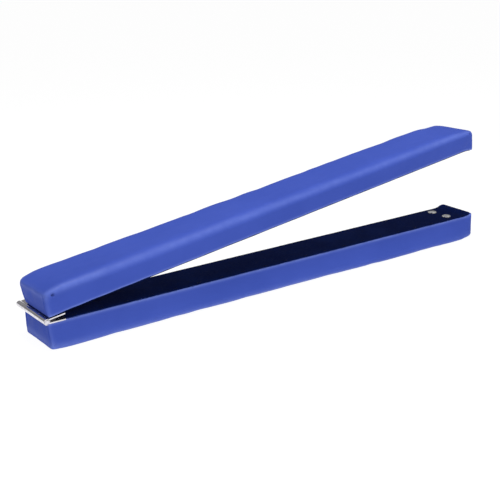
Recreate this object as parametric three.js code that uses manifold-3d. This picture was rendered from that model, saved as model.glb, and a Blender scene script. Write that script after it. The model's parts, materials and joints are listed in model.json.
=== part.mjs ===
// A folding floor balance beam: two padded halves joined end to end by one butt hinge on their undersides.
// It is modelled partly folded. The lower half lies on its padded face and the upper half stands open above it.
//
// Frame, in millimetres: the origin is the middle of the lower half's padded face, on the floor.
// +X runs from the hinge to the free ends, +Y is across the beam and +Z is up.
import * as THREE from 'three';
import { mergeVertices } from 'three/addons/utils/BufferGeometryUtils.js';
import Module from 'manifold-3d';

const wasm = await Module();
wasm.setup();

// ---- Driving dimensions ----
const HALF_LENGTH = 914; // 3 ft each, 6 ft unfolded
const PADDED_WIDTH = 100; // across the walking face
const UNDERSIDE_WIDTH = 81; // across the underside, where the cover is pulled tight
const THICKNESS = 44; // underside to walking face
const OPENING = THREE.MathUtils.degToRad(7.9); // how far the upper half stands open

const PADDED_EDGE_RADIUS = 10; // along the walking face's long edges
const END_ROUND = { along: 40, deep: 5 }; // where the walking face turns down to an end
const CORNER_RADIUS = 5; // the upright corners

const FIT_GAP = 0.3; // between pieces that rest on each other
const BACKING = 1.2; // black anti-slip sheet
const BACKING_INSET = 2;
const VINYL = 1;
const HEM = 18; // width of the cover turned over onto the underside
const CORE = { endGap: 5, width: 74, thickness: 28 };

const HINGE_LENGTH = 101.6;
const HINGE_OFFSET = 4; // the hinge sits this far off the beam's middle, towards +Y
const HINGE_AXIS = { x: -5.2, z: 3.6 }; // from the end and the underside of a half
const BARREL_RADIUS = 4.75;
const LEAF = { thickness: 2, reach: 27, cornerRadius: 3 }; // reach is past the end face
const KNUCKLES = 3;
const KNUCKLE_GAP = 0.35;
const PIN = { radius: 2.7, bore: 2.95, headRadius: 3.9, headLength: 1.2 };

const HINGE_SCREW = { headRadius: 4.2, shankRadius: 2, length: 24, headDepth: 2.1 };
const HINGE_SCREWS = [
  { x: 20, y: -30 },
  { x: 12, y: -11 },
  { x: 20, y: 11 },
  { x: 12, y: 30 },
];

const GLIDE = { radius: 8.6, height: 2.6, boreRadius: 2.3, fromEnd: 52, spread: 38 };
const GLIDE_SCREW = { headRadius: 4, dome: 0.8, headDepth: 1.8, shankRadius: 1.9, length: 22 };

const ARC_SEGMENTS = 5;
const ROUND_SEGMENTS = 32;
const SCREW_SEGMENTS = 16;

// ---- Materials ----
const material = (color, roughness, metalness = 0) =>
  new THREE.MeshStandardMaterial({ color, roughness, metalness });
const BLUE_VINYL = material(0x3f55b0, 0.42);
const BLACK_BACKING = material(0x080b1e, 0.8);
const FOAM = material(0xd9d2c0, 0.95);
const PINE = material(0xc9a26b, 0.7);
const STEEL = material(0xb9bcc2, 0.25, 1);

// ---- Solids ----
// A manifold solid from a closed three.js geometry, for cutting and joining.
function solid(geometry) {
  const bare = geometry.index ? geometry.toNonIndexed() : geometry.clone();
  bare.deleteAttribute('normal');
  bare.deleteAttribute('uv');
  const merged = mergeVertices(bare, 1e-4);
  return new wasm.Manifold(
    new wasm.Mesh({
      numProp: 3,
      vertProperties: new Float32Array(merged.attributes.position.array),
      triVerts: new Uint32Array(merged.index.array),
    }),
  );
}

function geometryOf(manifold) {
  const mesh = manifold.getMesh();
  const geometry = new THREE.BufferGeometry();
  geometry.setAttribute('position', new THREE.BufferAttribute(mesh.vertProperties, 3));
  geometry.setIndex(new THREE.BufferAttribute(mesh.triVerts, 1));
  geometry.computeVertexNormals();
  return geometry;
}

function meshOf(name, manifold, look) {
  const mesh = new THREE.Mesh(geometryOf(manifold), look);
  mesh.name = name;
  return mesh;
}

function box(low, high) {
  const size = high.map((value, i) => value - low[i]);
  const middle = high.map((value, i) => (value + low[i]) / 2);
  return solid(new THREE.BoxGeometry(...size).translate(...middle));
}

// Extrudes a shape drawn in two of the part's axes from one value of the third axis to another.
const PLANES = {
  xy: [[1, 0, 0], [0, 1, 0], [0, 0, 1]],
  yz: [[0, 1, 0], [0, 0, 1], [1, 0, 0]],
  xz: [[1, 0, 0], [0, 0, 1], [0, -1, 0]],
};
function extrude(shape, plane, from, to) {
  const axes = PLANES[plane].map((axis) => new THREE.Vector3(...axis));
  const geometry = new THREE.ExtrudeGeometry(shape, {
    depth: to - from,
    bevelEnabled: false,
    curveSegments: ARC_SEGMENTS,
  });
  geometry.translate(0, 0, from);
  return solid(geometry.applyMatrix4(new THREE.Matrix4().makeBasis(...axes)));
}

// A turned piece from [radius, height] points, standing on the part's Z axis at (x, y).
function turned(points, x, y, segments) {
  const profile = points.map(([radius, height]) => new THREE.Vector2(radius, height));
  const geometry = new THREE.LatheGeometry(profile, segments);
  return solid(geometry.rotateX(Math.PI / 2).translate(x, y, 0));
}

// A cylinder along the hinge line, from one Y to another.
function alongHinge(radius, fromY, toY) {
  const geometry = new THREE.CylinderGeometry(radius, radius, toY - fromY, ROUND_SEGMENTS);
  return solid(geometry.translate(HINGE_AXIS.x, (fromY + toY) / 2, HINGE_AXIS.z));
}

function roundedRectangle(x0, y0, x1, y1, radius) {
  const shape = new THREE.Shape();
  shape.absarc(x1 - radius, y0 + radius, radius, -Math.PI / 2, 0);
  shape.absarc(x1 - radius, y1 - radius, radius, 0, Math.PI / 2);
  shape.absarc(x0 + radius, y1 - radius, radius, Math.PI / 2, Math.PI);
  shape.absarc(x0 + radius, y0 + radius, radius, Math.PI, 1.5 * Math.PI);
  shape.closePath();
  return shape;
}

// ---- One half of the beam ----
// Its own frame: x from the hinge end to the free end, y across, z = 0 on the underside and
// -THICKNESS on the walking face. The upper half is the same half turned over.

// The padded form, shrunk by inset all round and cut off flat at z = top.
function paddedForm(inset, top) {
  const floor = -THICKNESS + inset;
  const narrow = UNDERSIDE_WIDTH / 2 - inset;
  const wide = PADDED_WIDTH / 2 - inset;
  const edge = PADDED_EDGE_RADIUS - inset;

  const section = new THREE.Shape();
  section.moveTo(narrow, top);
  section.lineTo(-narrow, top);
  section.absarc(-wide + edge, floor + edge, edge, Math.PI, 1.5 * Math.PI);
  section.absarc(wide - edge, floor + edge, edge, 1.5 * Math.PI, 2 * Math.PI);
  section.closePath();

  const start = inset;
  const end = HALF_LENGTH - inset;
  const along = END_ROUND.along - inset;
  const deep = END_ROUND.deep - inset;
  const sideView = new THREE.Shape();
  sideView.moveTo(end, top);
  sideView.lineTo(start, top);
  sideView.absellipse(start + along, floor + deep, along, deep, Math.PI, 1.5 * Math.PI);
  sideView.absellipse(end - along, floor + deep, along, deep, 1.5 * Math.PI, 2 * Math.PI);
  sideView.closePath();

  const plan = roundedRectangle(start, -wide, end, wide, CORNER_RADIUS - inset);
  return extrude(section, 'yz', start, end)
    .intersect(extrude(sideView, 'xz', -wide, wide))
    .intersect(extrude(plan, 'xy', floor, top));
}

// Heights of the layers under the underside plane, each resting on the next.
const backingTop = -FIT_GAP;
const hemTop = backingTop - BACKING - FIT_GAP;
const coreTop = hemTop - VINYL - FIT_GAP;
const coreFloor = coreTop - CORE.thickness;

const screwPlaces = (hingeSide) =>
  HINGE_SCREWS.map(({ x, y }) => ({ x, y: y + hingeSide * HINGE_OFFSET }));
const glidePlaces = [-1, 1].map((side) => ({
  x: HALF_LENGTH - GLIDE.fromEnd,
  y: (side * GLIDE.spread) / 2,
}));

// Clearance holes for every screw that goes through a half's layers.
function screwHoles(hingeSide) {
  const hole = ({ x, y }, screw) => {
    const radius = screw.shankRadius + FIT_GAP;
    const tip = LEAF.thickness - screw.length - FIT_GAP;
    return turned([[0, tip], [radius, tip], [radius, 1], [0, 1]], x, y, SCREW_SEGMENTS);
  };
  return [
    ...screwPlaces(hingeSide).map((place) => hole(place, HINGE_SCREW)),
    ...glidePlaces.map((place) => hole(place, GLIDE_SCREW)),
  ].reduce((all, one) => all.add(one));
}

function vinylCover() {
  const inside = paddedForm(VINYL, hemTop - VINYL);
  const opening = box(
    [HEM, -UNDERSIDE_WIDTH / 2 + HEM, -THICKNESS / 2],
    [HALF_LENGTH - HEM, UNDERSIDE_WIDTH / 2 - HEM, 1],
  );
  return paddedForm(0, hemTop).subtract(inside).subtract(opening);
}

function coreBoard() {
  return box(
    [CORE.endGap, -CORE.width / 2, coreFloor],
    [HALF_LENGTH - CORE.endGap, CORE.width / 2, coreTop],
  );
}

function foamPad() {
  const room = box(
    [CORE.endGap - FIT_GAP, -CORE.width / 2 - FIT_GAP, coreFloor - FIT_GAP],
    [HALF_LENGTH - CORE.endGap + FIT_GAP, CORE.width / 2 + FIT_GAP, 1],
  );
  return paddedForm(VINYL + FIT_GAP, coreTop).subtract(room);
}

function backingSheet() {
  const edge = UNDERSIDE_WIDTH / 2 - BACKING_INSET;
  const outline = roundedRectangle(
    BACKING_INSET, -edge, HALF_LENGTH - BACKING_INSET, edge, CORNER_RADIUS,
  );
  return extrude(outline, 'xy', backingTop - BACKING, backingTop);
}

// A plated glide: a domed ring that the beam's free end stands on when it is unfolded.
function glideCap({ x, y }) {
  const { radius, height, boreRadius } = GLIDE;
  const seat = GLIDE_SCREW.headRadius + FIT_GAP;
  const profile = [
    [boreRadius, 0],
    [radius, 0],
    [radius, 0.6],
    [radius - 0.9, height - 0.8],
    [radius - 2.6, height],
    [seat, height],
    [boreRadius, height - GLIDE_SCREW.headDepth],
    [boreRadius, 0],
  ];
  return turned(profile, x, y, ROUND_SEGMENTS - 8);
}

// A wood screw with its head's rim at the given height. A dome above 0 makes an oval head.
function woodScrew({ x, y }, screw, rim, dome = 0) {
  const { headRadius, shankRadius, length, headDepth } = screw;
  const point = 5;
  const domeTop = dome ? [[0.6 * headRadius, rim + 0.75 * dome], [0, rim + dome]] : [[0, rim]];
  const profile = [
    [0, rim - length],
    [shankRadius, rim - length + point],
    [shankRadius, rim - headDepth],
    [headRadius, rim],
    ...domeTop,
  ];
  const slot = { long: headRadius * 0.55, wide: 0.45, deep: 1.1 };
  const floor = rim + dome - slot.deep;
  const bar = box([x - slot.long, y - slot.wide, floor], [x + slot.long, y + slot.wide, rim + 2]);
  const cross = box([x - slot.wide, y - slot.long, floor], [x + slot.wide, y + slot.long, rim + 2]);
  return turned(profile, x, y, SCREW_SEGMENTS).subtract(bar.add(cross));
}

// One leaf of the hinge, lying on the underside. Its knuckles are the ones numbered in mine.
function hingeLeaf(mine, hingeSide) {
  const middle = hingeSide * HINGE_OFFSET;
  const low = middle - HINGE_LENGTH / 2;
  const pitch = HINGE_LENGTH / KNUCKLES;
  const { thickness, reach, cornerRadius } = LEAF;
  const outline = roundedRectangle(
    HINGE_AXIS.x, low, reach, low + HINGE_LENGTH, cornerRadius,
  );
  let leaf = extrude(outline, 'xy', 0, thickness);
  // Square the root's corners, which the outline rounded.
  leaf = leaf.add(box([HINGE_AXIS.x, low, 0], [reach - cornerRadius, low + HINGE_LENGTH, thickness]));
  for (let k = 0; k < KNUCKLES; k += 1) {
    const from = low + k * pitch;
    const isMine = mine.includes(k);
    const margin = isMine ? KNUCKLE_GAP / 2 : -KNUCKLE_GAP / 2;
    const start = k === 0 && isMine ? from : from + margin;
    const stop = k === KNUCKLES - 1 && isMine ? from + pitch : from + pitch - margin;
    const radius = isMine ? BARREL_RADIUS : BARREL_RADIUS + FIT_GAP;
    const barrel = alongHinge(radius, start, stop);
    leaf = isMine ? leaf.add(barrel) : leaf.subtract(barrel);
  }
  leaf = leaf.subtract(alongHinge(PIN.bore, low - 1, low + HINGE_LENGTH + 1));
  for (const { x, y } of screwPlaces(hingeSide)) {
    const { headRadius, shankRadius, headDepth } = HINGE_SCREW;
    const over = thickness + 1;
    const countersink = [
      [0, -1],
      [shankRadius + FIT_GAP, -1],
      [shankRadius + FIT_GAP, thickness - headDepth],
      [headRadius + FIT_GAP, thickness],
      [headRadius + FIT_GAP, over],
      [0, over],
    ];
    leaf = leaf.subtract(turned(countersink, x, y, SCREW_SEGMENTS));
  }
  return leaf;
}

// The hinge pin, with a low button head outside each end knuckle.
function hingePin() {
  const half = HINGE_LENGTH / 2 + FIT_GAP;
  const { radius, headRadius, headLength } = PIN;
  const profile = [
    [0, -half - headLength],
    [0.75 * headRadius, -half - 0.8 * headLength],
    [headRadius, -half - 0.2 * headLength],
    [headRadius, -half],
    [radius, -half],
    [radius, half],
    [headRadius, half],
    [headRadius, half + 0.2 * headLength],
    [0.75 * headRadius, half + 0.8 * headLength],
    [0, half + headLength],
  ].map(([r, h]) => new THREE.Vector2(r, h));
  const geometry = new THREE.LatheGeometry(profile, ROUND_SEGMENTS);
  return solid(geometry.translate(HINGE_AXIS.x, HINGE_OFFSET, HINGE_AXIS.z));
}

// Everything on one half. hingeSide is 1 on the lower half and -1 on the upper half, whose own
// frame is turned over, so that both leaves meet at the same hinge.
function beamHalf(prefix, hingeSide, knuckles) {
  const holes = screwHoles(hingeSide);
  const half = new THREE.Group();
  half.add(
    meshOf(`${prefix}_core_board`, coreBoard().subtract(holes), PINE),
    meshOf(`${prefix}_foam_pad`, foamPad(), FOAM),
    meshOf(`${prefix}_vinyl_cover`, vinylCover().subtract(holes), BLUE_VINYL),
    meshOf(`${prefix}_backing_sheet`, backingSheet().subtract(holes), BLACK_BACKING),
    meshOf(`${prefix}_hinge_leaf`, hingeLeaf(knuckles, hingeSide), STEEL),
  );
  screwPlaces(hingeSide).forEach((place, i) => {
    const screw = woodScrew(place, HINGE_SCREW, LEAF.thickness);
    half.add(meshOf(`${prefix}_hinge_screw_${i + 1}`, screw, STEEL));
  });
  glidePlaces.forEach((place, i) => {
    const screw = woodScrew(place, GLIDE_SCREW, GLIDE.height, GLIDE_SCREW.dome);
    half.add(
      meshOf(`${prefix}_glide_cap_${i + 1}`, glideCap(place), STEEL),
      meshOf(`${prefix}_glide_screw_${i + 1}`, screw, STEEL),
    );
  });
  return half;
}

// ---- The whole beam ----
const hingeEnd = -HALF_LENGTH / 2;

const lowerHalf = beamHalf('lower', 1, [0, 2]);
lowerHalf.add(meshOf('hinge_pin', hingePin(), STEEL));
lowerHalf.position.set(hingeEnd, 0, THICKNESS);

// The upper half is turned over about X, then swung open about the hinge line.
const upperHalf = beamHalf('upper', -1, [1]);
upperHalf.rotation.x = Math.PI;
upperHalf.position.set(-HINGE_AXIS.x, 0, HINGE_AXIS.z);
const swing = new THREE.Group();
swing.add(upperHalf);
swing.rotation.y = -OPENING;
swing.position.set(hingeEnd + HINGE_AXIS.x, 0, THICKNESS + HINGE_AXIS.z);

const beam = new THREE.Group();
beam.add(lowerHalf, swing);

export default beam;
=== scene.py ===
import json
import math

import bmesh
import bpy
import numpy as np
from mathutils import Matrix, Vector, kdtree, noise


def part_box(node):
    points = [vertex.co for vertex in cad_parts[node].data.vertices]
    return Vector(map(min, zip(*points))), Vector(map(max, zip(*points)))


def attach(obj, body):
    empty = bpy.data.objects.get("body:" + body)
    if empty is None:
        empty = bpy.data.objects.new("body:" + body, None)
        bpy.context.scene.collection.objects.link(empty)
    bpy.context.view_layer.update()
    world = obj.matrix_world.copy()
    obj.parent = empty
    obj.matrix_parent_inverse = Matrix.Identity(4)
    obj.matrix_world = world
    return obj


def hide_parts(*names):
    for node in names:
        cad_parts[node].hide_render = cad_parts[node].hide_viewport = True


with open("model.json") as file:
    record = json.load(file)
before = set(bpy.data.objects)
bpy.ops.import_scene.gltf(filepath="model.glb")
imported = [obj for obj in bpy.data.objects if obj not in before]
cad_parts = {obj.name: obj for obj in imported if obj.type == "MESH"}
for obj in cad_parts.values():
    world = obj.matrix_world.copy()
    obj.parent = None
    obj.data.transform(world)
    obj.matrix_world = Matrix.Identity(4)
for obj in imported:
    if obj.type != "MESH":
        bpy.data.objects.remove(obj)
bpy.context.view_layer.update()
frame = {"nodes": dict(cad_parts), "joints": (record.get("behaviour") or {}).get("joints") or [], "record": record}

MM = 0.001

# ---- Sizes read from the frame ----
FIT_GAP = 0.3 * MM
cover_low, cover_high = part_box("lower_vinyl_cover")
backing_low, backing_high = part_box("lower_backing_sheet")
core_low, core_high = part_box("lower_core_board")
foam_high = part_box("lower_foam_pad")[1]
HALF_LENGTH = cover_high.x - cover_low.x
WIDE = (cover_high.y - cover_low.y) / 2
THICKNESS = backing_high.z + FIT_GAP
HEM_TOP = cover_high.z - THICKNESS
BACKING_TOP = backing_high.z - THICKNESS
BACKING_EDGE = backing_high.y
FOAM_TOP = foam_high.z - THICKNESS

fold = frame["joints"][0]
hinge_line = Vector(fold["pos_m"])
opening = math.radians(-fold["range_deg"][0])
hinge_in_half = Vector((hinge_line.x - cover_low.x, 0, hinge_line.z - THICKNESS))

HALVES = {
    "lower": Matrix.Translation((cover_low.x, 0, THICKNESS)),
    "upper": Matrix.Translation(hinge_line)
    @ Matrix.Rotation(-opening, 4, "Y")
    @ Matrix.Translation((-hinge_in_half.x, 0, hinge_in_half.z))
    @ Matrix.Rotation(math.pi, 4, "X"),
}

# ---- Sizes of the soft shapes ----
BACKING_INSET = 2 * MM
NARROW = BACKING_EDGE + BACKING_INSET  # half the underside's width
HEM_RADIUS = 2 * MM  # where the cover rolls over onto the underside
END_ZONE = 40 * MM  # the stretch at each end where the form's rings gather

# The cover was pulled on unevenly, so the underside's +y edge lies further out, the most at the hinge end.
UNEVEN = {"hinge": 4.5 * MM, "free": 2.5 * MM}
HINGE_FLARE = 2.5 * MM  # how far the folded cloth thickens that edge at the hinge end
FLARE_REACH = 25 * MM
FULL_WIDTH_HEIGHT = 8 * MM  # how far from the walking face the sides keep their full width
# The folded cloth lifts the underside at the free end, and more so towards +y. Both halves' lifts fit in the
# gap that is left when the beam is closed.
LIP = {"lower": 4.6 * MM, "upper": 1.9 * MM}
LIP_TILT = 1.4 * MM
LIP_REACH = 11 * MM

# The walking face's two long edges, at -y and +y, have a softer radius in the middle of a half than at its
# ends. At each end the face turns down on a quarter ellipse, given by how far along it starts and how deep
# it goes, and the cloth pinches its sides in. The upright corners are round there and tighter at the
# underside. bulge is how far the foam pushes the -y side out, towards the free end.
SHAPES = {
    "lower": {
        "edges": {-1: 7.5 * MM, 1: 9 * MM},
        "edge_at_ends": 3.5 * MM,
        "hinge": {"along": 20 * MM, "deep": 2 * MM, "corner": 3 * MM, "pinch": 3.5 * MM},
        "free": {"along": 45 * MM, "deep": 6 * MM, "corner": 16 * MM, "pinch": 6 * MM},
        "bulge": 4.5 * MM,
    },
    "upper": {
        "edges": {-1: 8 * MM, 1: 14 * MM},
        "edge_at_ends": 6 * MM,
        "hinge": {"along": 40 * MM, "deep": 8 * MM, "corner": 8 * MM, "pinch": 0},
        "free": {"along": 120 * MM, "deep": 8.5 * MM, "corner": 12 * MM, "pinch": 0},
        "bulge": 0,
    },
}
UNDERSIDE_CORNER = {"hinge": 2.5 * MM, "free": 5 * MM}
PINCH_REACH = 28 * MM
BULGE_PLACE = 0.8  # as a share of the half's length, from the hinge end
BULGE_REACH = 0.24  # as a share of the half's length
VINYL = 1 * MM
HEM = 18 * MM
SLACK = 1.2 * MM  # how much smaller the cover starts, before its padding swells
SWELL = 2.6 * MM  # the most that the padding pushes the cover out
GIVE = 0.2 * MM  # the most that the cover presses into the firm foam
FOLD_DEPTH = 1.6 * MM  # of the folds in the cover's corners

# The rings of each form: how far apart they lie in its middle, and how many gather at each end.
COVER_RINGS = (10 * MM, 20)
PADDING_RINGS = (12 * MM, 6)
FOAM_RINGS = (12 * MM, 8)

# The simulation that swells the padding.
VOXEL = 5 * MM
SIMULATED_STEPS = 20
STAPLED_FOOT = 12 * MM  # how far from the underside the staples hold the cover
NEIGHBOURS = 10  # how many simulated points each point of the cover follows

# Where each corner's pucker sits: how far from the end, in from the side and up from the walking face.
PUCKER_ALONG = {"lower": 5 * MM, "upper": 12 * MM}
PUCKER_IN = 0.5 * MM
PUCKER_UP = 9 * MM


# ---- Camera, light and floor ----
# Brightness of the room by the direction that one looks in, from level (0) to straight up (1).
ROOM = [(0.0, 1.0), (0.05, 0.7), (0.14, 0.25), (0.3, 0.2), (0.5, 0.32), (1.0, 0.65)]

# Each light: its name, place, target, width and depth, and power in watts.
LIGHTS = [
    ("overhead", (0.15, -0.05, 1.9), (-0.2, 0, 0.1), (0.25, 1.0), 24),
    ("front", (-0.6, -2.4, 0.9), (-0.1, 0, 0.1), (2.0, 1.4), 32),
    ("left", (-2.4, 0.2, 0.9), (-0.4, 0, 0.1), (1.5, 1.5), 7),
]

CAMERA_PLACE = (-0.9828, -1.3036, 0.5707)
CAMERA_DEGREES = (72.43, 1.45, -35.74)
CAMERA_LENS = 69.8


def make_camera():
    data = bpy.data.cameras.new("camera")
    data.lens = CAMERA_LENS
    data.sensor_width = 36
    camera = bpy.data.objects.new("camera", data)
    camera.location = CAMERA_PLACE
    camera.rotation_euler = [math.radians(angle) for angle in CAMERA_DEGREES]
    bpy.context.scene.collection.objects.link(camera)
    bpy.context.scene.camera = camera


def area_light(name, place, target, size, power):
    data = bpy.data.lights.new(name, "AREA")
    data.shape = "RECTANGLE"
    data.size, data.size_y = size
    data.energy = power
    light = bpy.data.objects.new(name, data)
    light.visible_camera = False
    light.location = place
    light.rotation_euler = (Vector(target) - Vector(place)).to_track_quat("-Z", "Y").to_euler()
    bpy.context.scene.collection.objects.link(light)


def make_studio():
    """A room that is pale at level, dim above it and paler overhead, with three soft lights."""
    world = bpy.data.worlds.new("studio")
    world.use_nodes = True
    nodes = world.node_tree.nodes
    links = world.node_tree.links
    direction = nodes.new("ShaderNodeTexCoord")
    parts = nodes.new("ShaderNodeSeparateXYZ")
    by_height = nodes.new("ShaderNodeFloatCurve")
    curve = by_height.mapping.curves[0]
    brightest = max(level for _, level in ROOM)
    for height, level in ROOM[1:-1]:
        curve.points.new(height, level / brightest)
    for point, (height, level) in zip(curve.points, ROOM):
        point.location = (height, level / brightest)
        point.handle_type = "VECTOR"
    by_height.mapping.update()
    strength = nodes.new("ShaderNodeMath")
    strength.operation = "MULTIPLY"
    strength.inputs[1].default_value = brightest
    nodes["Background"].inputs["Color"].default_value = (1, 1, 1, 1)
    links.new(direction.outputs["Generated"], parts.inputs["Vector"])
    links.new(parts.outputs["Z"], by_height.inputs["Value"])
    links.new(by_height.outputs["Value"], strength.inputs[0])
    links.new(strength.outputs["Value"], nodes["Background"].inputs["Strength"])
    bpy.context.scene.world = world
    bpy.context.scene.view_settings.view_transform = "Standard"
    for light in LIGHTS:
        area_light(*light)


def make_floor():
    reach = 30
    mesh = bpy.data.meshes.new("floor")
    corners = [(-reach, -reach, 0), (reach, -reach, 0), (reach, reach, 0), (-reach, reach, 0)]
    mesh.from_pydata(corners, [], [(0, 1, 2, 3)])
    floor = bpy.data.objects.new("floor", mesh)
    bpy.context.scene.collection.objects.link(floor)
    material, shader = new_material("pale_floor")
    shader.inputs["Base Color"].default_value = (0.12, 0.12, 0.12, 1)
    shader.inputs["Roughness"].default_value = 0.9
    shader.inputs["Specular IOR Level"].default_value = 0
    shader.inputs["Emission Color"].default_value = (1, 1, 1, 1)
    shader.inputs["Emission Strength"].default_value = 0.93
    mesh.materials.append(material)


# ---- Material building ----
def new_material(name):
    material = bpy.data.materials.new(name)
    material.use_nodes = True
    return material, material.node_tree.nodes["Principled BSDF"]


class Nodes:
    """Short ways to add and join shader nodes in one material."""

    def __init__(self, material):
        self.tree = material.node_tree
        self.position = self.add("ShaderNodeTexCoord").outputs["Object"]

    def add(self, kind, settings=None, **inputs):
        node = self.tree.nodes.new(kind)
        for key, value in (settings or {}).items():
            setattr(node, key, value)
        for key, value in inputs.items():
            self.feed(node.inputs[key.replace("_", " ")], value)
        return node

    def feed(self, socket, value):
        if isinstance(value, bpy.types.NodeSocket):
            self.tree.links.new(value, socket)
        else:
            socket.default_value = value

    def scaled(self, factors):
        node = self.add("ShaderNodeMapping", Vector=self.position)
        node.inputs["Scale"].default_value = factors
        return node.outputs["Vector"]

    def noise(self, scale, detail=3, roughness=0.5, vector=None):
        vector = vector or self.position
        node = self.add("ShaderNodeTexNoise", Vector=vector, Scale=scale, Detail=detail, Roughness=roughness)
        return node.outputs["Fac"]

    def cells(self, scale, feature="F1", vector=None):
        vector = vector or self.position
        node = self.add("ShaderNodeTexVoronoi", {"feature": feature}, Vector=vector, Scale=scale)
        return node.outputs["Distance"]

    def ranged(self, value, low, high, to_low, to_high):
        node = self.add("ShaderNodeMapRange", Value=value)
        for key, number in (("From Min", low), ("From Max", high), ("To Min", to_low), ("To Max", to_high)):
            node.inputs[key].default_value = number
        return node.outputs["Result"]

    def mixed(self, factor, first, second):
        node = self.add("ShaderNodeMix", {"data_type": "RGBA"})
        self.feed(node.inputs["Factor"], factor)
        self.feed(node.inputs["A"], first)
        self.feed(node.inputs["B"], second)
        return node.outputs["Result"]

    def maths(self, operation, first, second=0.0):
        node = self.add("ShaderNodeMath", {"operation": operation})
        self.feed(node.inputs[0], first)
        self.feed(node.inputs[1], second)
        return node.outputs["Value"]

    def bump(self, height, distance, strength=1.0, normal=None):
        node = self.add("ShaderNodeBump", Height=height, Distance=distance, Strength=strength)
        if normal:
            self.feed(node.inputs["Normal"], normal)
        return node.outputs["Normal"]

    def attribute(self, name):
        return self.add("ShaderNodeAttribute", {"attribute_name": name}).outputs["Fac"]


def blue_vinyl():
    """Smooth PVC cloth: a fine pebbled grain, slight clouding, lighter edges that are partly scuffed by use and
    partly painted highlight, and painted shade in the puckers.
    """
    material, shader = new_material("blue_vinyl")
    nodes = Nodes(material)
    deep_blue, light_blue = (0.04, 0.073, 0.365, 1), (0.047, 0.083, 0.4, 1)
    scuffed_and_highlight_blue, painted_shade_blue = (0.15, 0.21, 0.58, 1), (0.004, 0.007, 0.05, 1)
    cloudy = nodes.ranged(nodes.noise(9, 4, 0.55), 0.3, 0.7, 0, 1)
    base = nodes.mixed(cloudy, deep_blue, light_blue)
    patches = nodes.ranged(nodes.noise(60, 5), 0.35, 0.65, 0.7, 1)
    # Lightens the edges: partly scuffing from use, partly a painted highlight on the long edges and the rolled
    # hem.
    scuffs_and_highlight = nodes.maths("MULTIPLY", nodes.attribute("scuffs_and_painted_highlight"), patches)
    scuffed_and_highlit = nodes.mixed(scuffs_and_highlight, base, scuffed_and_highlight_blue)
    # Mixes a near-black blue into the puckers: painted shade.
    nodes.feed(shader.inputs["Base Color"], nodes.mixed(nodes.attribute("painted_pucker_shade"), scuffed_and_highlit, painted_shade_blue))
    smudges = nodes.ranged(nodes.noise(22, 5, 0.6), 0.3, 0.7, 0.5, 0.6)
    polish = nodes.maths("MULTIPLY", nodes.attribute("scuffs_and_painted_highlight"), 0.5)
    nodes.feed(shader.inputs["Roughness"], nodes.maths("SUBTRACT", smudges, polish))
    shader.inputs["Specular IOR Level"].default_value = 0.045
    grain = nodes.cells(900, "F1")
    pores = nodes.noise(2200, 2)
    fine = nodes.bump(nodes.maths("ADD", grain, nodes.maths("MULTIPLY", pores, 0.35)), 0.00012, 0.35)
    soft = nodes.bump(nodes.noise(28, 3), 0.0012, 0.25, fine)
    nodes.feed(shader.inputs["Normal"], soft)
    return material


def black_backing():
    """Anti-slip backing: a dull rubbery cloth with a knobbly grain and dusty patches."""
    material, shader = new_material("black_backing")
    nodes = Nodes(material)
    black, dusty = (0.003, 0.01, 0.07, 1), (0.005, 0.016, 0.1, 1)
    dust = nodes.ranged(nodes.noise(14, 6, 0.65), 0.45, 0.75, 0, 1)
    nodes.feed(shader.inputs["Base Color"], nodes.mixed(dust, black, dusty))
    nodes.feed(shader.inputs["Roughness"], nodes.ranged(nodes.noise(300, 3), 0.3, 0.7, 0.62, 0.85))
    shader.inputs["Specular IOR Level"].default_value = 0.02
    knobs = nodes.cells(420, "SMOOTH_F1")
    weave = nodes.noise(1500, 2)
    height = nodes.maths("SUBTRACT", nodes.maths("MULTIPLY", weave, 0.3), knobs)
    nodes.feed(shader.inputs["Normal"], nodes.bump(height, 0.0004, 0.7))
    return material


def foam():
    """Cream polyethylene foam with fine cells."""
    material, shader = new_material("foam")
    nodes = Nodes(material)
    cream, tan = (0.72, 0.67, 0.55, 1), (0.6, 0.54, 0.41, 1)
    cells = nodes.cells(700, "F1")
    tint = nodes.ranged(cells, 0, 0.6, 0, 1)
    nodes.feed(shader.inputs["Base Color"], nodes.mixed(tint, cream, tan))
    shader.inputs["Roughness"].default_value = 0.95
    nodes.feed(shader.inputs["Normal"], nodes.bump(cells, 0.0006, 0.6))
    return material


def pine():
    """Sawn pine with growth rings along the board."""
    material, shader = new_material("core_pine")
    nodes = Nodes(material)
    pale_wood, dark_wood = (0.62, 0.4, 0.18, 1), (0.42, 0.22, 0.08, 1)
    along = nodes.scaled((0.5, 9, 9))
    grain = nodes.noise(14, 6, 0.6, along)
    fibres = nodes.noise(160, 3, 0.5, along)
    rings = nodes.ranged(grain, 0.35, 0.65, 0, 1)
    nodes.feed(shader.inputs["Base Color"], nodes.mixed(rings, pale_wood, dark_wood))
    nodes.feed(shader.inputs["Roughness"], nodes.ranged(grain, 0.3, 0.7, 0.6, 0.8))
    nodes.feed(shader.inputs["Normal"], nodes.bump(fibres, 0.0003, 0.5))
    return material


def plated_steel(name, color, rough, brushed):
    """Plated steel. brushed packs the fine scratches closer in a direction by a larger number there."""
    material, shader = new_material(name)
    nodes = Nodes(material)
    tarnish = nodes.ranged(nodes.noise(140, 5, 0.6), 0.35, 0.7, 0, 1)
    dull = tuple(0.72 * channel for channel in color)
    nodes.feed(shader.inputs["Base Color"], nodes.mixed(tarnish, (*color, 1), (*dull, 1)))
    shader.inputs["Metallic"].default_value = 1
    scratches = nodes.noise(90, 4, 0.7, nodes.scaled(brushed))
    nodes.feed(shader.inputs["Roughness"], nodes.ranged(scratches, 0.3, 0.7, rough - 0.06, rough + 0.1))
    nodes.feed(shader.inputs["Normal"], nodes.bump(scratches, 0.00006, 0.5))
    return material


# ---- The padded form ----
def bell(distance, width):
    return np.exp(-((distance / width) ** 2))


def end_distance(x):
    return np.minimum(x, HALF_LENGTH - x)


def near_end(x):
    return "hinge" if x < HALF_LENGTH / 2 else "free"


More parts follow.
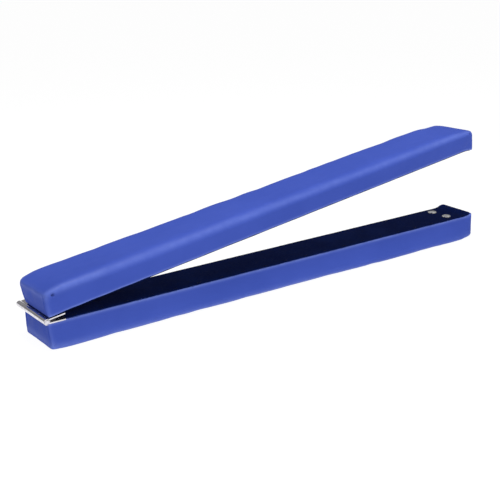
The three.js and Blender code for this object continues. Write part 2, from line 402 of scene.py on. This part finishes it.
def floor_height(half, x, inset):
    """Height of the walking face at x: flat, and turned down at both ends."""
    end = SHAPES[half][near_end(x)]
    reach = max(0.0, 1 - end_distance(x) / end["along"])
    return -THICKNESS + inset + end["deep"] * (1 - math.sqrt(1 - reach**2))


def edge_radius(half, x, side):
    """Radius of the walking face's long edge at x, on the -y or +y side."""
    shape = SHAPES[half]
    share = min(1.0, end_distance(x) / (3 * END_ZONE))
    return shape["edge_at_ends"] + (shape["edges"][side] - shape["edge_at_ends"]) * share


def corner_cut(x, radius):
    """How far an upright corner's rounding brings the side in at x."""
    reach = max(0.0, 1 - end_distance(x) / radius)
    return radius * (1 - math.sqrt(1 - reach**2))


def underside_edge(x, side):
    """How far out the underside's edge lies at x, on the -y or +y side."""
    share = x / HALF_LENGTH
    uneven = UNEVEN["hinge"] * (1 - share) + UNEVEN["free"] * share
    return NARROW + (uneven + HINGE_FLARE * bell(x, FLARE_REACH)) * (side > 0)


def side_width(x, height, side):
    """How far out the straight side lies at x and a height. It narrows towards the underside."""
    narrow = underside_edge(x, side)
    share = np.clip(-height / (THICKNESS - FULL_WIDTH_HEIGHT), 0, 1)
    return narrow + (WIDE - narrow) * share


def lip(half, x, y):
    """How far the folded cloth lifts the underside at (x, y)."""
    return (LIP[half] + LIP_TILT * y / NARROW) * bell(HALF_LENGTH - x, LIP_REACH)


class Profile:
    """One side of the form's section at x, in (y, z). It is walked by shares of each stretch's length."""

    def __init__(self, half, x, top, inset, slack, side):
        self.side = side
        self.floor = floor_height(half, x, inset + slack)
        self.edge = edge_radius(half, x, side)
        at_bulge = bell(x - BULGE_PLACE * HALF_LENGTH, BULGE_REACH * HALF_LENGTH)
        bulge = SHAPES[half]["bulge"] * at_bulge * (side < 0)
        end = SHAPES[half][near_end(x)]
        pulled_in = corner_cut(x, end["corner"]) + end["pinch"] * bell(end_distance(x), PINCH_REACH)
        self.wide = side_width(x, self.floor + self.edge, side) + bulge - inset - pulled_in
        self.narrow = underside_edge(x, side) - inset - corner_cut(x, UNDERSIDE_CORNER[near_end(x)])
        self.top = top + lip(half, x, side * self.narrow)
        self.tilt = lip(half, x, side) - lip(half, x, 0)
        self.flat = self.wide - self.edge
        self.arc = self.edge * math.pi / 4
        self.rise = self.top - HEM_RADIUS - (self.floor + self.edge)
        self.slope = math.hypot(self.rise, self.wide - self.narrow)
        self.roll = HEM_RADIUS * math.pi / 4

    def on_floor(self, share):
        distance = share * (self.flat + self.arc)
        angle = max(0.0, distance - self.flat) / self.edge
        y = min(distance, self.flat) + self.edge * math.sin(angle)
        return self.side * y, self.floor + self.edge * (1 - math.cos(angle))

    def on_side(self, share):
        distance = share * (self.arc + self.slope + self.roll)
        if distance < self.arc:
            angle = math.pi / 4 + distance / self.edge
            return (
                self.side * (self.flat + self.edge * math.sin(angle)),
                self.floor + self.edge * (1 - math.cos(angle)),
            )
        if distance < self.arc + self.slope:
            part = (distance - self.arc) / self.slope
            y = self.wide + (self.narrow - self.wide) * part
            return self.side * y, self.floor + self.edge + self.rise * part
        angle = (distance - self.arc - self.slope) / HEM_RADIUS
        y = self.narrow - HEM_RADIUS * (1 - math.cos(angle))
        return self.side * y, self.top - HEM_RADIUS * (1 - math.sin(angle))

    def on_top(self, share):
        flat = self.narrow - HEM_RADIUS
        distance = share * (flat + self.roll)
        angle = max(0.0, distance - flat) / HEM_RADIUS
        y = min(distance, flat) + HEM_RADIUS * math.sin(angle)
        return self.side * y, self.top - self.tilt * (self.narrow - y) - HEM_RADIUS * (1 - math.cos(angle))


def section(half, x, top, inset, slack, across, upright):
    """One closed ring round the form at x, as (y, z) pairs.

    It runs along the walking face from -y to +y, up the +y side, back along the underside and down the -y
    side. across and upright hold the shares, from 0 to 1, where points lie along a face and up a side.
    """
    minus, plus = (Profile(half, x, top, inset, slack, side) for side in (-1, 1))

    def sides(walk, share):
        return walk(minus if share < 0.5 else plus, abs(2 * share - 1))

    ring = [sides(Profile.on_floor, share) for share in across]
    ring += [plus.on_side(share) for share in upright[1:-1]]
    ring += [sides(Profile.on_top, share) for share in reversed(across)]
    ring += [minus.on_side(share) for share in reversed(upright[1:-1])]
    return ring


def padded_form(half, top, inset, slack, spacing, end_rings):
    """A closed padded form as (vertices, faces), with quads all over and grids on its two ends.

    inset shrinks it all round but on the underside, and slack lowers only its walking face.
    """
    shares = [i / end_rings for i in range(end_rings)]
    # The rings gather towards the end, but stay further apart than the wrinkles are deep.
    start = [END_ZONE * (0.5 * share + 0.5 * (1 - math.cos(math.pi / 2 * share))) for share in shares]
    count = round((HALF_LENGTH - 2 * END_ZONE) / spacing)
    middle = list(np.linspace(END_ZONE, HALF_LENGTH - END_ZONE, count + 1))
    xs = start + middle + [HALF_LENGTH - x for x in reversed(start)]
    xs = [inset + x * (1 - 2 * inset / HALF_LENGTH) for x in xs]

    wide_count = 30
    side_count = 22
    # Points gather towards the rounded edges.
    across = [0.5 - 0.5 * math.sin(math.pi / 2 * (1 - 2 * i / wide_count)) for i in range(wide_count + 1)]
    upright = [i / side_count for i in range(side_count + 1)]

    vertices = []
    faces = []
    around = 2 * (wide_count + side_count)
    for x in xs:
        # An inset form's rings keep the outline of the same share of the full length.
        full_x = (x - inset) / (1 - 2 * inset / HALF_LENGTH)
        vertices += [(x, y, z) for y, z in section(half, full_x, top, inset, slack, across, upright)]
    for i in range(len(xs) - 1):
        for j in range(around):
            a, b = i * around + j, i * around + (j + 1) % around
            faces.append((a, b, b + around, a + around))

    for ring, flip in ((0, False), (len(xs) - 1, True)):
        base = ring * around
        corner = wide_count + side_count
        grid = {}
        for j in range(wide_count + 1):
            grid[j, 0] = base + j
            grid[j, side_count] = base + corner + (wide_count - j)
        for k in range(1, side_count):
            grid[wide_count, k] = base + wide_count + k
            grid[0, k] = base + (around - k)
        for j in range(1, wide_count):
            for k in range(1, side_count):
                s, t = j / wide_count, k / side_count
                floor, ceiling = (np.array(vertices[grid[j, end]]) for end in (0, side_count))
                left, right = (np.array(vertices[grid[end, k]]) for end in (0, wide_count))
                corners = [np.array(vertices[grid[m, n]]) for n in (0, side_count) for m in (0, wide_count)]
                blend = (
                    (1 - t) * floor + t * ceiling + (1 - s) * left + s * right
                    - (1 - t) * ((1 - s) * corners[0] + s * corners[1])
                    - t * ((1 - s) * corners[2] + s * corners[3])
                )
                grid[j, k] = len(vertices)
                vertices.append(tuple(blend))
        for j in range(wide_count):
            for k in range(side_count):
                face = (grid[j, k], grid[j, k + 1], grid[j + 1, k + 1], grid[j + 1, k])
                faces.append(tuple(reversed(face)) if flip else face)
    return vertices, faces


def new_object(name, vertices, faces):
    mesh = bpy.data.meshes.new(name)
    mesh.from_pydata([tuple(v) for v in vertices], [], faces)
    mesh.validate()
    piece = bpy.data.objects.new(name, mesh)
    bpy.context.scene.collection.objects.link(piece)
    return piece


def outward(piece):
    mesh = bmesh.new()
    mesh.from_mesh(piece.data)
    bmesh.ops.recalc_face_normals(mesh, faces=mesh.faces)
    mesh.to_mesh(piece.data)
    mesh.free()


def apply_modifiers(piece):
    evaluated = piece.evaluated_get(bpy.context.evaluated_depsgraph_get())
    mesh = bpy.data.meshes.new_from_object(evaluated)
    old = piece.data
    piece.modifiers.clear()
    piece.data = mesh
    mesh.name = piece.name
    bpy.data.meshes.remove(old)


def points_of(mesh):
    values = np.zeros(len(mesh.vertices) * 3)
    mesh.vertices.foreach_get("co", values)
    return values.reshape(-1, 3)


def normals_of(mesh):
    values = np.zeros(len(mesh.vertices) * 3)
    mesh.vertices.foreach_get("normal", values)
    return values.reshape(-1, 3)


# ---- Padding that swells ----
def swelling(half, top):
    """Where the padding pushes the cover: resting points and how far each one moves, by cloth simulation."""
    pad = new_object(f"{half}_swelling", *padded_form(half, top, 0, SLACK, *PADDING_RINGS))
    outward(pad)
    remesh = pad.modifiers.new("remesh", "REMESH")
    remesh.mode = "VOXEL"
    remesh.voxel_size = VOXEL
    apply_modifiers(pad)
    rest = points_of(pad.data)

    # The hem is stapled down, so the underside and the foot of each side stay put.
    pinned = pad.vertex_groups.new(name="stapled")
    for i, height in enumerate(rest[:, 2]):
        weight = np.clip(1 - (top - height) / STAPLED_FOOT, 0, 1)
        if weight > 0:
            pinned.add([i], float(weight), "REPLACE")

    cloth = pad.modifiers.new("cloth", "CLOTH")
    settings = cloth.settings
    settings.quality = 6
    settings.mass = 0.3
    settings.tension_stiffness = 25
    settings.compression_stiffness = 25
    settings.bending_stiffness = 2
    settings.shrink_min = -0.02
    settings.use_pressure = True
    settings.uniform_pressure_force = 4
    settings.effector_weights.gravity = 0
    settings.vertex_group_mass = "stapled"
    cloth.collision_settings.use_collision = False
    scene = bpy.context.scene
    for step in range(1, SIMULATED_STEPS + 1):
        scene.frame_set(step)
    moved = points_of(pad.evaluated_get(bpy.context.evaluated_depsgraph_get()).data) - rest
    scene.frame_set(1)
    # The cover slides over the foam without changing its form, so only the outward push counts. The foam is
    # firm, so the cover hardly presses into it.
    normals = normals_of(pad.data)
    outwards = (moved * normals).sum(axis=1)
    outwards = np.maximum(SWELL * np.tanh(outwards / SWELL), -GIVE)
    moved = normals * outwards[:, None]
    mesh = pad.data
    bpy.data.objects.remove(pad)
    bpy.data.meshes.remove(mesh)
    return rest, moved


def carried(points, rest, moved):
    """The swelling at other points, from the nearest simulated ones."""
    tree = kdtree.KDTree(len(rest))
    for i, point in enumerate(rest):
        tree.insert(point, i)
    tree.balance()
    result = np.zeros_like(points)
    for i, point in enumerate(points):
        found = tree.find_n(point, NEIGHBOURS)
        weights = np.array([1 / (distance + VOXEL / 2) ** 2 for _, _, distance in found])
        result[i] = weights @ moved[[index for _, index, _ in found]] / weights.sum()
    return result


# ---- Folds and puckers in the vinyl, its scuffed edges, painted highlight and painted shade ----
def clouds(points, size, seed):
    offset = Vector((seed, 2.3 * seed, -1.7 * seed))
    return np.array([noise.noise(Vector(point) / size + offset) for point in points])


def end_face_edge(half, x, y, z):
    """How far out the nearest end face reaches at a height, inside its rounded upright corners."""
    at_hinge = x < HALF_LENGTH / 2
    cuts = {end: SHAPES[half][end]["corner"] + SHAPES[half][end]["pinch"] for end in ("hinge", "free")}
    high_cut = np.where(at_hinge, cuts["hinge"], cuts["free"])
    foot_cut = np.where(at_hinge, UNDERSIDE_CORNER["hinge"], UNDERSIDE_CORNER["free"])
    share = np.clip(-z / THICKNESS, 0, 1)
    return side_width(x, z, y) - foot_cut * (1 - share) - high_cut * share


def from_pucker(half, points):
    """Offsets of points from the pucker that the nearest corner's fold ends in, one row for each axis."""
    x, y, z = points.T
    along = end_distance(x) - PUCKER_ALONG[half]
    return np.stack([along, abs(y) - WIDE + PUCKER_IN, z + THICKNESS - PUCKER_UP])


def dressed(half, points, normals, seed):
    """Moves points of a swollen cover into its folds, puckers and slack."""
    x, y, z = points.T
    from_end = end_distance(x)
    outer = side_width(x, z, y)
    depth = np.zeros(len(points))

    # Long shallow waves where the cloth is a little slack over the foam.
    depth += 0.45 * MM * clouds(points * (0.35, 1, 1), 45 * MM, seed)
    depth += 0.16 * MM * clouds(points * (0.6, 1, 1), 14 * MM, seed + 5)

    # The staples in the hem, hidden by the backing sheet, draw small puckers along the foot of each side.
    staple_pitch, pull = 42 * MM, 0.4 * MM
    sides = np.clip((abs(y) - outer + 6 * MM) / (5 * MM), 0, 1)
    foot = bell(z - HEM_TOP, 13 * MM) * sides
    wander = clouds(points * (1, 0, 0), 120 * MM, seed + 9)
    depth -= pull * foot * (0.5 + 0.5 * np.cos(2 * math.pi * (x / staple_pitch + 0.4 * wander)))

    # At each upright corner the cloth is folded under itself like a parcel: a groove beside a raised lip.
    fade, width = 6 * MM, 1.6 * MM
    raised, beside = 0.7 * MM, 3 * MM
    above_face = np.clip((z + THICKNESS - 7 * MM) / fade, 0, 1)
    under_hem = np.clip((HEM_TOP - 2 * MM - z) / fade, 0, 1)
    upright = above_face * under_hem
    crease_y = end_face_edge(half, x, y, z) - 2.5 * MM - 1.2 * MM * np.sin(z / (16 * MM) + seed)
    on_end = bell(from_end, 5 * MM)
    depth -= FOLD_DEPTH * on_end * upright * bell(abs(y) - crease_y, width)
    depth += raised * on_end * upright * bell(abs(y) - crease_y - beside, width)

    # Each fold ends in a pucker beside the walking face, with a short crease running out of it both ways.
    pucker = from_pucker(half, points)
    reach = np.sqrt((pucker**2).sum(axis=0))
    depth -= 3.2 * MM * bell(reach, 2.2 * MM)
    crease = abs(pucker[2] - 0.35 * pucker[0])
    off_end = np.clip(from_end / (4 * MM), 0, 1)
    depth -= 0.6 * MM * bell(reach, 9 * MM) * bell(crease, 1.1 * MM) * off_end

    # The cloth is stretched flat round the hem at each end.
    below_hem = np.clip((HEM_TOP + lip(half, x, y) - z) / (4 * MM), 0, 1)
    depth *= 1 - on_end * (1 - below_hem)
    return points + normals * depth[:, None]


def painted_pucker_shade_of(half, points):
    """How much painted shade each point gets: it darkens the puckers, where shade falls."""
    return 0.95 * bell(np.sqrt((from_pucker(half, points) ** 2).sum(axis=0)), 2.1 * MM)


def scuffs_and_highlight_of(half, points):
    """How much each point is lightened: most on the rolled hem, and less on the long edges, ends and corners. On
    the ends and corners it is scuffing from use; on the hem and the long edges it is partly scuffing and partly
    painted highlight.
    """
    x, y, z = points.T
    long_edge = bell(np.hypot(abs(y) - WIDE + 3 * MM, z + THICKNESS - 3 * MM), 6 * MM)
    end_edge = bell(np.hypot(end_distance(x), z + THICKNESS - 10 * MM), 6 * MM)
    corner = bell(np.hypot(end_distance(x), abs(y) - side_width(x, z, y)), 4 * MM)
    hem = bell(np.hypot(abs(y) - underside_edge(x, y) + 0.5 * MM, z - HEM_TOP - lip(half, x, y)), 3 * MM)
    return np.clip(0.5 * long_edge + 0.22 * end_edge + 0.25 * corner + 0.85 * hem, 0, 1)


def make_cover(half, seed):
    name = f"{half}_padded_cover"
    vertices, faces = padded_form(half, HEM_TOP, 0, SLACK, *COVER_RINGS)
    cover = new_object(name, vertices, faces)
    outward(cover)
    points = points_of(cover.data)
    moved = carried(points, *swelling(half, HEM_TOP))
    points = points + moved
    # The underside lies on the board, and leaves it only where the folded cloth lifts it.
    under = vertices_near_underside(half, points)
    points[under, 2] = HEM_TOP + lip(half, points[under, 0], points[under, 1])
    cover.data.vertices.foreach_set("co", points.ravel())

    subdivide = cover.modifiers.new("subdivide", "SUBSURF")
    subdivide.levels = subdivide.render_levels = 1
    apply_modifiers(cover)

    points = dressed(half, points_of(cover.data), normals_of(cover.data), seed)
    if half == "lower":
        # It lies on the floor, so its crown is pressed flat.
        points[:, 2] = np.maximum(points[:, 2], -THICKNESS)
    cover.data.vertices.foreach_set("co", points.ravel())
    # Per point: lightening that is partly scuffing and partly painted highlight, and the painted shade of the
    # puckers.
    for kind, amounts in (("scuffs_and_painted_highlight", scuffs_and_highlight_of(half, points)), ("painted_pucker_shade", painted_pucker_shade_of(half, points))):
        attribute = cover.data.attributes.new(kind, "FLOAT", "POINT")
        attribute.data.foreach_set("value", amounts.astype(np.float32))
    open_underside(cover)
    skin = cover.modifiers.new("skin", "SOLIDIFY")
    skin.thickness = VINYL
    skin.offset = -1
    skin.use_even_offset = False
    apply_modifiers(cover)
    finish_piece(cover, half, "blue_vinyl", smooth_angle=80)
    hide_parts(f"{half}_vinyl_cover")


def vertices_near_underside(half, points):
    x, y, z = points.T
    return (abs(y) < underside_edge(x, y) - HEM_RADIUS) & (z > HEM_TOP + lip(half, x, y) - 1 * MM)


def open_underside(cover):
    """Cuts the window that the hem leaves in the middle of the underside."""
    mesh = bmesh.new()
    mesh.from_mesh(cover.data)
    window = [face for face in mesh.faces if in_window(face.calc_center_median())]
    bmesh.ops.delete(mesh, geom=window, context="FACES")
    mesh.to_mesh(cover.data)
    mesh.free()


def in_window(point):
    clear_of_ends = HEM < point.x < HALF_LENGTH - HEM
    return clear_of_ends and abs(point.y) < NARROW - HEM and point.z > -THICKNESS / 2


def make_foam(half):
    inset = VINYL + FIT_GAP + GIVE + FOLD_DEPTH
    vertices, faces = padded_form(half, FOAM_TOP, inset, 0, *FOAM_RINGS)
    pad = new_object(f"{half}_foam_wrap", vertices, faces)
    outward(pad)
    # The room cut for the board runs on past the underside.
    past_underside = 10 * MM
    low = Vector((core_low.x - cover_low.x, core_low.y, core_low.z - THICKNESS)) - Vector([FIT_GAP] * 3)
    high = Vector((core_high.x - cover_low.x, core_high.y, past_underside)) + Vector([FIT_GAP] * 3)
    corners = [(x, y, z) for x in (low.x, high.x) for y in (low.y, high.y) for z in (low.z, high.z)]
    sides = [(0, 1, 3, 2), (4, 6, 7, 5), (0, 4, 5, 1), (2, 3, 7, 6), (0, 2, 6, 4), (1, 5, 7, 3)]
    board = new_object("board_room", corners, sides)
    outward(board)
    cut = pad.modifiers.new("cut", "BOOLEAN")
    cut.object = board
    cut.operation = "DIFFERENCE"
    cut.solver = "EXACT"
    apply_modifiers(pad)
    bpy.data.objects.remove(board)
    finish_piece(pad, half, "foam", smooth_angle=40)
    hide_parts(f"{half}_foam_pad")


# ---- Backing sheet and its staples ----
def make_backing(half, seed):
    """The black sheet: cut a little unevenly, and slightly rippled between its staples."""
    thick = backing_high.z - backing_low.z
    columns, rows = 150, 20
    length = HALF_LENGTH - 2 * BACKING_INSET
    corner = 5 * MM
    vertices = []
    for level in (1, 0):
        for i in range(columns + 1):
            for j in range(rows + 1):
                s, t = i / columns, 2 * j / rows - 1
                t = math.sin(t * math.pi / 2)
                x = BACKING_INSET + s * length
                cut = max(0.0, corner - min(x - BACKING_INSET, HALF_LENGTH - BACKING_INSET - x))
                uneven = 0.5 * MM * noise.noise(Vector((x / (50 * MM), math.copysign(3, t), seed)))
                edge = underside_edge(x, t) - BACKING_INSET
                y = t * (edge + uneven - (corner - math.sqrt(corner**2 - cut**2)))
                ripple = 0.12 * MM * (1 + noise.noise(Vector((x, y, 0)) / (16 * MM) + Vector((seed, 0, 0))))
                rim = 0.25 * MM * max(0.0, abs(t) - 0.97) / 0.03
                height = (BACKING_TOP - ripple - rim if level else BACKING_TOP - thick) + lip(half, x, y)
                vertices.append((x, y, height))
    layer = (columns + 1) * (rows + 1)
    faces = []
    for i in range(columns):
        for j in range(rows):
            a = i * (rows + 1) + j
            b, c, d = a + 1, a + rows + 2, a + rows + 1
            faces.append((a, b, c, d))
            faces.append((a + layer, d + layer, c + layer, b + layer))
    border = list(range(rows + 1))
    border += [i * (rows + 1) + rows for i in range(1, columns + 1)]
    border += [columns * (rows + 1) + j for j in reversed(range(rows))]
    border += [i * (rows + 1) for i in reversed(range(1, columns))]
    for a, b in zip(border, border[1:] + border[:1]):
        faces.append((a, a + layer, b + layer, b))
    sheet = new_object(f"{half}_anti_slip_sheet", vertices, faces)
    outward(sheet)
    finish_piece(sheet, half, "black_backing", smooth_angle=50)
    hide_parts(f"{half}_backing_sheet")


def make_staples(half, seed):
    """Black staples round the sheet's edge. Each is a bent wire, turned a little unevenly."""
    wire, crown, leg = 0.35 * MM, 9 * MM, 4 * MM
    margin, pitch = 4.5 * MM, 45 * MM
    bend = 0.6 * MM
    broad, thin = 1.3, 0.8  # the wire is a little flattened
    path = [(-crown / 2, -leg), (-crown / 2, -bend), (-crown / 2 + bend, 0)]
    path += [(-x, z) for x, z in reversed(path)]
    hinge_clear, free_clear, end_spacing = 45 * MM, 20 * MM, 22 * MM
    run = HALF_LENGTH - hinge_clear - free_clear
    count = round(run / pitch)
    places = []
    for side in (-1, 1):
        for i in range(count + 1):
            x = hinge_clear + run * i / count
            places.append((x, side * (underside_edge(x, side) - BACKING_INSET - margin), 0))
    places += [(HALF_LENGTH - 2 * margin, y, math.pi / 2) for y in (-end_spacing, 0, end_spacing)]
    vertices = []
    faces = []
    sides = 8
    for number, (x, y, turn) in enumerate(places):
        lean = 0.12 * noise.noise(Vector((number, seed, 0.5)))
        height = BACKING_TOP + 0.5 * wire + lip(half, x, y)
        place = Matrix.Translation((x, y, height)) @ Matrix.Rotation(turn + lean, 4, "Z")
        base = len(vertices)
        for index, (along, up) in enumerate(path):
            before, after = path[max(index - 1, 0)], path[min(index + 1, len(path) - 1)]
            heading = Vector((after[0] - before[0], 0, after[1] - before[1])).normalized()
            lift = heading.cross(Vector((0, 1, 0)))
            for k in range(sides):
                angle = 2 * math.pi * k / sides
                offset = wire * (math.cos(angle) * Vector((0, broad, 0)) + thin * math.sin(angle) * lift)
                vertices.append(tuple(place @ (Vector((along, 0, up)) + offset)))
        for index in range(len(path) - 1):
            for k in range(sides):
                a, b = base + index * sides + k, base + index * sides + (k + 1) % sides
                faces.append((a, b, b + sides, a + sides))
        last = base + (len(path) - 1) * sides
        faces.append(tuple(base + k for k in reversed(range(sides))))
        faces.append(tuple(last + k for k in range(sides)))
    staples = new_object(f"{half}_backing_staples", vertices, faces)
    outward(staples)
    finish_piece(staples, half, "screw_steel", smooth_angle=50)
    # They are first given the screws' material, which is then swapped for black wire.
    staples.data.materials.clear()
    staples.data.materials.append(MATERIALS["black_wire"])


def finish_piece(piece, half, slot, smooth_angle):
    """Puts a piece in its half's place, and gives it the material named by slot, and its body."""
    piece.data.transform(HALVES[half])
    piece.data.materials.clear()
    piece.data.materials.append(MATERIALS[slot])
    piece.data.polygons.foreach_set("use_smooth", [True] * len(piece.data.polygons))
    piece.data.set_sharp_from_angle(angle=math.radians(smooth_angle))
    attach(piece, f"{half}_half")


# ---- CAD pieces that show as they are ----
def dress_cad_nodes():
    slots = {part["node"]: part["material_slot"] for part in frame["record"]["subparts"]}
    for name, node in frame["nodes"].items():
        node.data.materials.clear()
        node.data.materials.append(MATERIALS[slots[name]])


make_camera()
make_studio()
make_floor()

MATERIALS = {
    "blue_vinyl": blue_vinyl(),
    "black_backing": black_backing(),
    "foam": foam(),
    "core_pine": pine(),
    "hinge_steel": plated_steel("hinge_steel", (0.82, 0.8, 0.84), 0.11, (6, 0.4, 6)),
    "pin_steel": plated_steel("pin_steel", (0.8, 0.78, 0.84), 0.14, (6, 0.4, 6)),
    "screw_steel": plated_steel("screw_steel", (0.85, 0.85, 0.87), 0.2, (2, 2, 2)),
    "glide_nickel": plated_steel("glide_nickel", (0.95, 0.94, 0.92), 0.22, (2, 2, 2)),
    "black_wire": plated_steel("black_wire", (0.02, 0.02, 0.025), 0.4, (2, 2, 2)),
}
dress_cad_nodes()
for seed, half in enumerate(HALVES, start=1):
    make_cover(half, seed)
    make_foam(half)
    make_backing(half, seed)
    make_staples(half, seed)
